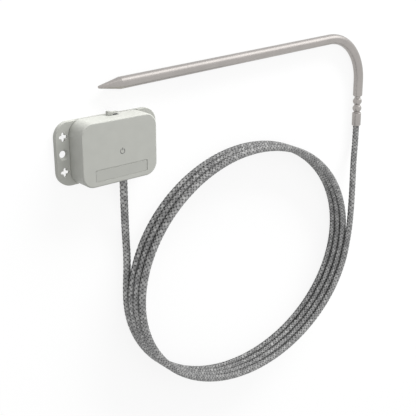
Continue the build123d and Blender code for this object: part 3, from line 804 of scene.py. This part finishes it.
@dataclass
class CoiledCable(Assembly):
    """Braided cable from the case, round the coil and up to the probe.

    The route and the coil are in millimetres, the cable and its braid in metres.

    Attributes:
        nodes: Plain solids that the braided cable stands for.
        diameter: Outside of the braid.
        length: Real length from end to end; not used.
        leaving: Point where the cable leaves the case; not used.
        lead: Corners of its way from the case to the coil.
        tail: Corners of its way from the coil to the probe.
        coil_centre: Middle of the coil on the floor.
        coil_half_length: Half of the oval's long side, at the cable's middle.
        coil_half_width: Half of its short side.
        coil_tilt: Turn of the oval, in degrees.
        coil_rise: Height of one layer.
        coil_lean: Shift of each layer over the last.
        coil_turns: Number of turns.
        points_per_turn: Points of the line in one turn.
        cutting: Share of the oval at which a line of so many points runs.
        climb: Share of each turn in which the cable climbs to the next layer.
        line_steps: Points that are read from the line for each point of the route.
        weave: Lay of the braid's strands.
        braid_step: Length of cable in which a strand moves on by one place.
        facets_round: Mesh steps across one strand, round the cable.
        facets_along: Mesh steps in one braid step.
        relief: Depth of the braid.
        unevenness: How far the strands wander from an even lay, in strand widths.
        sway: Waves of their wander round the cable, as waves in a turn and radians in a braid step.
        slip: Waves of their wander along the cable, in the same way.
    """

    nodes: tuple[str, ...] = ("cable_lead", "cable_coil", "cable_tail")
    diameter: float = 4.4 * MM
    length: float = 1.99
    leaving: Point = (6.3, -17.6, 5.6)
    lead: tuple[Point, ...] = (
        (6.3, -11.5, 5.6),
        (6.3, -30.0, 5.6),
        (8.7, -50.0, 2.4),
        (9.59, -69.85, 2.2),
    )
    tail: tuple[Point, ...] = (
        (192.71, -86.32, 15.1),
        (196.3, -65.0, 12.0),
        (203.4, -46.5, 5.6),
        (206.89, -34.22, 3.175),
        (206.32, -22.23, 3.175),
    )
    coil_centre: tuple[float, float] = (99.05, -93.6)
    coil_half_length: float = 90.8
    coil_half_width: float = 75.6
    coil_tilt: float = -4.9
    coil_rise: float = 4.3
    coil_lean: tuple[float, float] = (0.48, -0.30)
    coil_turns: float = 3.5
    points_per_turn: int = 36
    cutting: float = 0.9962
    climb: float = 0.35
    line_steps: int = 24
    weave: Weave = WEAVE
    braid_step: float = 2.5 * MM
    facets_round: int = 5
    facets_along: int = 4
    relief: float = 0.26 * MM
    unevenness: float = 0.08
    sway: tuple[tuple[int, float], ...] = ((1, 1.9), (2, -0.83), (1, 0.31))
    slip: tuple[tuple[int, float], ...] = ((1, -1.7), (3, 1.1), (1, -0.23))

    @property
    def facets(self) -> int:
        """Number of the mesh's faces round the cable."""
        return self.weave.carriers * self.facets_round

    def coil_point(self, turn: float) -> Point:
        """Give one point of the coil, which starts on its left and climbs at the end of each turn.

        Args:
            turn: Turns from the coil's start.

        Returns:
            The point, in millimetres.
        """
        angle = math.pi + 2 * math.pi * turn
        whole = math.floor(turn)
        step = max(0.0, (turn - whole - (1 - self.climb)) / self.climb)
        layer = whole + step * step * (3 - 2 * step)
        along = self.coil_half_length / self.cutting * math.cos(angle)
        across = self.coil_half_width / self.cutting * math.sin(angle)
        tilt = math.radians(self.coil_tilt)
        centre = [place + lean * layer for place, lean in zip(self.coil_centre, self.coil_lean)]
        return (
            centre[0] + along * math.cos(tilt) - across * math.sin(tilt),
            centre[1] + along * math.sin(tilt) + across * math.cos(tilt),
            self.diameter / 2 / MM + self.coil_rise * layer,
        )

    def route(self) -> list[Point]:
        """Give the control points of the whole cable, in millimetres."""
        steps = round(self.coil_turns * self.points_per_turn)
        coil = [self.coil_point(step / self.points_per_turn) for step in range(steps + 1)]
        return [*self.lead, *coil, *self.tail]

    def centreline(self) -> np.ndarray:
        """Draw the cable's smooth line and read its points.

        Returns:
            Points along the line, in metres.
        """
        curve = bpy.data.curves.new("cable_line", "CURVE")
        curve.dimensions = "3D"
        spline = curve.splines.new("NURBS")
        route = self.route()
        spline.points.add(len(route) - 1)
        for point, place in zip(spline.points, route):
            point.co = (*(value * MM for value in place), 1.0)
        spline.order_u = 3
        spline.use_endpoint_u = True
        spline.resolution_u = self.line_steps
        holder = bpy.data.objects.new("cable_line", curve)
        bpy.context.scene.collection.objects.link(holder)
        line = bpy.data.meshes.new_from_object(holder)
        points = np.array([vertex.co[:] for vertex in line.vertices])
        bpy.data.objects.remove(holder)
        bpy.data.curves.remove(curve)
        bpy.data.meshes.remove(line)
        return points

    @cached_property
    def rings(self) -> np.ndarray:
        """Middles of the mesh's rings, spaced evenly along the line, in metres."""
        points = self.centreline()
        reach = np.concatenate([[0.0], np.cumsum(np.linalg.norm(np.diff(points, axis=0), axis=1))])
        places = np.linspace(0.0, reach[-1], round(reach[-1] / self.braid_step * self.facets_along) + 1)
        return np.stack([np.interp(places, reach, points[:, axis]) for axis in range(3)], axis=1)

    def lay(self, turn: np.ndarray, step: np.ndarray) -> tuple[np.ndarray, np.ndarray]:
        """Let the strands wander a little, as they do on a real braid.

        Args:
            turn: Strand widths round the cable.
            step: Braid steps along it.

        Returns:
            The two counts with their unevenness.
        """
        angle = turn * 2 * math.pi / self.weave.carriers
        sway = sum(np.sin(waves * angle + rate * step) for waves, rate in self.sway)
        slip = sum(np.sin(waves * angle + rate * step) for waves, rate in self.slip)
        return turn + self.unevenness * sway, step + self.unevenness * slip

    def crossing_height(self, first: np.ndarray, second: np.ndarray) -> np.ndarray:
        """Work out the braid's relief.

        Args:
            first: Count across one set of strands.
            second: Count across the other set.

        Returns:
            Height from 0, between the strands, to 1, on top of them.
        """
        weave = self.weave
        left = np.round(first)
        right = np.round(second)
        upper = weave.lift * np.cos(math.pi * (second + left)) - weave.crown * (first - left) ** 2
        lower = -weave.lift * np.cos(math.pi * (first + right)) - weave.crown * (second - right) ** 2
        return np.clip((np.maximum(upper, lower) - weave.gap) / (weave.lift - weave.gap), 0.0, 1.0)

    def spokes(self) -> np.ndarray:
        """Point out from the line all round, ring by ring, with no twist from one to the next.

        Returns:
            Directions from each ring's middle to its points.
        """
        heading = np.gradient(self.rings, axis=0)
        heading /= np.linalg.norm(heading, axis=1)[:, None]
        side = np.zeros_like(heading)
        side[0] = np.cross(heading[0], UP)
        for ring in range(1, len(side)):
            carried = side[ring - 1] - heading[ring] * np.dot(side[ring - 1], heading[ring])
            side[ring] = carried / np.linalg.norm(carried)
        upward = np.cross(side, heading)
        angle = (np.arange(self.facets) * 2 * math.pi / self.facets)[None, :, None]
        return side[:, None] * np.cos(angle) + upward[:, None] * np.sin(angle)

    def skin(self) -> tuple[np.ndarray, list[list[int]]]:
        """Lay the braid's relief round the line and close its ends.

        Returns:
            Points of the mesh, and its faces by the numbers of their points.
        """
        rings = len(self.rings)
        facets = self.facets
        turn = np.arange(facets)[None] / self.facets_round
        step = np.arange(rings)[:, None] / self.facets_along
        turned, stepped = self.lay(turn, step)
        height = self.crossing_height(turned + stepped, turned - stepped)
        radius = self.diameter / 2 - self.relief * (1 - height)
        tube = (self.rings[:, None] + self.spokes() * radius[..., None]).reshape(-1, 3)
        column = np.arange(facets)
        following = (column + 1) % facets
        row = np.arange(rings - 1)[:, None] * facets
        above = row + facets
        quads = np.stack([row + column, row + following, above + following, above + column], -1)
        faces = quads.reshape(-1, 4).tolist()
        start = len(tube)
        last = (rings - 1) * facets
        rim = list(zip(column.tolist(), following.tolist()))
        faces += [[start, right, left] for left, right in rim]
        faces += [[start + 1, last + left, last + right] for left, right in rim]
        return np.concatenate([tube, self.rings[:1], self.rings[-1:]]), faces

    def map_braid(self, mesh: bpy.types.Mesh) -> None:
        """Write the braid's counts on the mesh as its map.

        Args:
            mesh: The cable's mesh.
        """
        layer = mesh.uv_layers.new(name=self.weave.counts)
        column = np.arange(self.facets)
        row = np.arange(len(self.rings) - 1)[:, None]
        corners = ((0, 0), (1, 0), (1, 1), (0, 1))
        squares = np.zeros((row.size, column.size, len(corners), 2))
        for corner, (right, up) in enumerate(corners):
            counts = self.lay((column + right) / self.facets_round, (row + up) / self.facets_along)
            squares[:, :, corner] = np.stack(counts, axis=-1)
        values = np.zeros((len(mesh.loops), 2))
        values[: squares.size // 2] = squares.reshape(-1, 2)
        layer.data.foreach_set("uv", values.ravel())

    def build(self) -> Piece:
        """Model the braided cable.

        Returns:
            The cable, riding on the part.
        """
        points, faces = self.skin()
        mesh = bpy.data.meshes.new("braided_cable")
        mesh.from_pydata(points.tolist(), [], faces)
        self.map_braid(mesh)
        mesh.polygons.foreach_set("use_smooth", [True] * len(mesh.polygons))
        mesh.update()
        cable = bpy.data.objects.new("braided_cable", mesh)
        bpy.context.scene.collection.objects.link(cable)
        seat(cable, CABLE_BRAID)
        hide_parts(*self.nodes)
        return cable

    def declare(self, cable: Piece, pieces: list[Piece]) -> None:
        """Read the middle of the ring at every braid step, and do nothing with them.

        Args:
            cable: The cable; not used.
            pieces: What is on its far end; not used.
        """
        self.rings[:: self.facets_along]


@dataclass
class SensorBox(Assembly):
    """Moulded case, flanged back plate and all that is inside them.

    All sizes are in millimetres.

    Attributes:
        nodes: Solids of the box.
        play: Gap between an inlay and its recess.
        mark_place: Middle of the power mark on the front.
        mark_radius: Outside of its ring.
        mark_stroke: Width of its lines.
        mark_depth: Depth of its recess.
        mark_bar: Length of its bar.
        mark_rise: Middle of the bar over the ring's middle.
        mark_opening: Angle that the ring leaves open on each side of the bar, in degrees.
        mark_steps: Mesh steps along the ring.
        inlay_rounding: Rounding of the mark's and the label's edges.
        label_place: Middle of the label, which is stuck a little low and left in its recess.
        label_size: Width and height of the blank label.
        label_corner: Radius of its corners.
        label_corner_steps: Mesh steps round one of them.
        label_recess: Depth of its recess.
        label_thickness: Thickness of the label.
        shade_strip: Left, right, lowest and highest edge of the long strip of the dark piece that is
            painted shade in the latch window.
        shade_leg: Left edge and lowest edge of its leg beside the latch.
        shade_sunk: How far that dark piece lies under the wall's surface.
        shade_depth: Depth of the dark piece.
        shade_rounding: Rounding of its edges.
        front: Height of the case's front, as in the frame.
        top: Place of the case's top wall, as in the frame.
    """

    nodes: tuple[str, ...] = (
        "front_cover",
        "rear_plate",
        "cover_seal",
        "circuit_board",
        "board_screws",
        "battery_holder",
        "cell_base_contact",
        "coin_cell",
        "cell_clip",
        "cable_grommet",
        "cable_ferrule",
        "lead_wires",
        "cable_terminal",
        "terminal_screws",
        "touch_electrode",
        "status_led",
        "radio_module",
        "radio_shield",
        "chip_antenna",
        "converter_chip",
        "clock_crystal",
        "chip_capacitors",
    )
    play: float = 0.02
    mark_place: tuple[float, float] = (1.1, -0.5)
    mark_radius: float = 1.55
    mark_stroke: float = 0.45
    mark_depth: float = 0.25
    mark_bar: float = 1.4
    mark_rise: float = 1.2
    mark_opening: float = 39.5
    mark_steps: int = 48
    inlay_rounding: float = 0.05
    label_place: tuple[float, float] = (0.42, -11.05)
    label_size: tuple[float, float] = (31.6, 5.65)
    label_corner: float = 0.4
    label_corner_steps: int = 6
    label_recess: float = 0.3
    label_thickness: float = 0.2
    shade_strip: tuple[float, float, float, float] = (-1.45, 5.2, 4.92, 5.52)
    shade_leg: tuple[float, float] = (1.8, 2.68)
    shade_sunk: float = 0.06
    shade_depth: float = 1.1
    shade_rounding: float = 0.08
    front: float = field(init=False)
    top: float = field(init=False)

    def __post_init__(self) -> None:
        """Read the place of the case's front and top wall from the frame."""
        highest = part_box("front_cover")[1] / MM
        self.front = highest.z
        self.top = highest.y

    def build_mark(self) -> Piece:
        """Model the dark inlay of the power mark, a ring that is open at the top and a bar.

        Returns:
            The inlay, riding on the part.
        """
        recess = (self.mark_stroke, self.mark_bar, self.mark_depth)
        stroke, bar, deep = ((side - 2 * self.play) * MM for side in recess)
        middle = Vector((*self.mark_place, self.front - self.mark_depth / 2)) * MM
        ring = (self.mark_radius - self.mark_stroke / 2) * MM
        opening = math.radians(self.mark_opening)
        start = math.pi / 2 + opening
        clear_selection()
        bpy.ops.mesh.primitive_plane_add(
            size=1,
            location=middle + Vector((math.cos(start), math.sin(start), 0)) * ring,
            rotation=(math.pi / 2, 0, start),
        )
        inlay = take_size("power_mark", (stroke, deep, 1))
        with edit_mode():
            select_all()
            sweep = 2 * (math.pi - opening)
            bpy.ops.mesh.spin(steps=self.mark_steps, angle=-sweep, center=middle, axis=UP)
        clear_selection()
        bpy.ops.mesh.primitive_cube_add(size=1, location=middle + Vector((0, self.mark_rise * MM, 0)))
        take_size("mark_bar", (stroke, bar, deep))
        inlay.select_set(True)
        bpy.context.view_layer.objects.active = inlay
        bpy.ops.object.join()
        with edit_mode():
            select_all()
            bpy.ops.mesh.remove_doubles(threshold=MERGED)
            bpy.ops.mesh.fill_holes(sides=4)
            turn_outwards()
        round_edges(inlay, self.inlay_rounding * MM)
        seat(inlay, MARK_INK)
        return inlay

    def build_label(self) -> Piece:
        """Model the blank label film in its recess.

        Returns:
            The label, riding on the part.
        """
        floor = self.front - self.label_recess + self.play
        width, height = (side * MM for side in self.label_size)
        clear_selection()
        bpy.ops.mesh.primitive_plane_add(size=1, location=Vector((*self.label_place, floor)) * MM)
        label = take_size("blank_label", (width, height, 1))
        with edit_mode():
            select_all()
            corner = self.label_corner * MM
            bpy.ops.mesh.bevel(affect="VERTICES", offset=corner, segments=self.label_corner_steps)
            select_all()
            up = (0, 0, self.label_thickness * MM)
            bpy.ops.mesh.extrude_region_move(TRANSFORM_OT_translate={"value": up})
            turn_outwards()
        round_edges(label, self.inlay_rounding * MM)
        seat(label, LABEL_FILM)
        return label

    def build_latch_shade(self) -> Piece:
        """Model a dark piece beside and in front of the latch, in its window, that is painted shade
        there.

        Returns:
            The dark piece, riding on the part.
        """
        left, right, low, high = (value * MM for value in self.shade_strip)
        leg_left, leg_low = (value * MM for value in self.shade_leg)
        middle = (self.top - self.shade_sunk - self.shade_depth / 2) * MM
        clear_selection()
        bpy.ops.mesh.primitive_cube_add(size=1, location=((left + right) / 2, middle, (low + high) / 2))
        latch_shade = take_size("latch_shade_piece", (right - left, self.shade_depth * MM, high - low))
        with edit_mode():
            select_all()
            bpy.ops.mesh.bisect(plane_co=(leg_left, middle, low), plane_no=(1, 0, 0))
            bpy.ops.mesh.select_all(action="DESELECT")
        for face in latch_shade.data.polygons:
            face.select = face.normal.z < LOOKS_DOWN and face.center.x > leg_left
        with edit_mode():
            bpy.ops.mesh.select_mode(type="FACE")
            down = (0, 0, leg_low - low)
            bpy.ops.mesh.extrude_region_move(TRANSFORM_OT_translate={"value": down})
            select_all()
            bpy.ops.mesh.remove_doubles(threshold=MERGED)
            turn_outwards()
        round_edges(latch_shade, self.shade_rounding * MM)
        # The dark rubber finish stands in for the shade in the latch window.
        seat(latch_shade, SEAL_RUBBER_AND_LATCH_SHADE)
        return latch_shade


@dataclass
class BentProbe(Assembly):
    """Bent steel probe with its crimped end and what is inside it.

    Attributes:
        nodes: Solids of the probe.
    """

    nodes: tuple[str, ...] = (
        "probe_sheath",
        "crimp_insert",
        "sensing_element",
        "sensor_wires",
        "tip_potting",
    )


class Light(Enum):
    """What a lamp is for: lighting surfaces, lifting their shadows, or showing as a highlight on them."""

    SURFACE = "surface"
    LIFT = "lift"
    SHINE = "shine"


@dataclass(frozen=True)
class SoftLamp:
    """Large flat lamp beside the part.

    Attributes:
        name: Name of the lamp.
        way: Direction from the part to the lamp.
        distance: Distance from the part, in metres.
        size: Sides of the lamp, in metres.
        power: Power in watts.
        light: What the lamp is for.
    """

    name: str
    way: tuple[float, float, float]
    distance: float
    size: tuple[float, float]
    power: float
    light: Light

    def hang(self, aim: Vector) -> None:
        """Hang the lamp.

        Args:
            aim: Point that it faces.
        """
        bulb = bpy.data.lights.new(self.name, "AREA")
        bulb.shape = "RECTANGLE"
        bulb.size, bulb.size_y = self.size
        bulb.energy = self.power
        bulb.use_shadow = self.light is not Light.LIFT
        lamp = bpy.data.objects.new(self.name, bulb)
        way = Vector(self.way)
        lamp.location = aim + way.normalized() * self.distance
        lamp.rotation_euler = (-way).to_track_quat("-Z", "Y").to_euler()
        lamp.visible_glossy = self.light is Light.SHINE
        lamp.visible_diffuse = self.light is not Light.SHINE
        bpy.context.scene.collection.objects.link(lamp)


@dataclass
class Studio:
    """Camera, floor and light.

    Attributes:
        camera_place: Where the camera stands, in metres.
        camera_turn: How it is turned, in degrees.
        lens: Focal length in millimetres.
        sensor: Width of the camera's sensor in millimetres.
        floor_size: Side of the floor, in metres.
        sky: Strength of the even light from all round.
        aim: Point that the lamps face, in metres.
        lamps: Soft lamps on the right of the picture.
    """

    camera_place: Point = (-0.21022, 0.10888, 0.31998)
    camera_turn: tuple[float, float, float] = (-21.22679, -41.15258, 0.72192)
    lens: float = 64.904
    sensor: float = 36.0
    floor_size: float = 6.0
    sky: float = 0.59
    aim: Point = (0.08, -0.03, 0.0)
    lamps: tuple[SoftLamp, ...] = (
        SoftLamp("key", (0.50, 0.80, 0.28), 1.4, (1.2, 0.4), 21.5, Light.SURFACE),
        SoftLamp("lift", (0.50, 0.80, 0.23), 1.4, (1.2, 0.4), 11.5, Light.LIFT),
        SoftLamp("glint", (0.62, 0.69, 0.32), 1.4, (1.3, 0.8), 5.1, Light.SHINE),
    )

    def add_camera(self) -> None:
        """Stand the camera where the picture is taken from."""
        lens = bpy.data.cameras.new("camera")
        lens.lens = self.lens
        lens.sensor_width = self.sensor
        camera = bpy.data.objects.new("camera", lens)
        camera.location = self.camera_place
        camera.rotation_euler = [math.radians(angle) for angle in self.camera_turn]
        bpy.context.scene.collection.objects.link(camera)
        bpy.context.scene.camera = camera

    def add_floor(self) -> None:
        """Lay the pale floor."""
        clear_selection()
        bpy.ops.mesh.primitive_plane_add(size=self.floor_size)
        floor = bpy.context.object
        floor.name = "floor"
        dress(floor, FloorPaint("floor_paint").material())

    def add_light(self) -> None:
        """Hang the soft lamps and set the even light, behind which the camera sees plain white."""
        for lamp in self.lamps:
            lamp.hang(Vector(self.aim))
        world = bpy.data.worlds.new("studio")
        bpy.context.scene.world = world
        graph = Graph(world)
        backdrop = graph.add("ShaderNodeBackground")
        graph.feed(backdrop.inputs["Color"], WHITE)
        graph.feed(backdrop.inputs["Strength"], graph.spread(graph.seen_rays(), self.sky, 1.0, 0.0, 1.0))
        graph.close("ShaderNodeOutputWorld", backdrop.outputs["Background"])

    def set_view(self) -> None:
        """Show colours as they are written."""
        bpy.context.scene.view_settings.view_transform = "Standard"


def main() -> None:
    """Load the solids, build the pieces round them, and light them."""
    logging.basicConfig(level=logging.INFO, format="%(message)s")
    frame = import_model()
    wardrobe = Wardrobe(frame)
    studio = Studio()
    studio.add_camera()
    cable = CoiledCable()
    braid = cable.build()
    cable.declare(braid, BentProbe().dress_solids(wardrobe))
    cable.dress_solids(wardrobe)
    box = SensorBox()
    box.dress_solids(wardrobe)
    for piece in (braid, box.build_mark(), box.build_label(), box.build_latch_shade()):
        LOG.info("piece %s, %d faces", piece.name, len(piece.data.polygons))
    studio.add_floor()
    studio.add_light()
    studio.set_view()


if __name__ == "__main__":
    main()
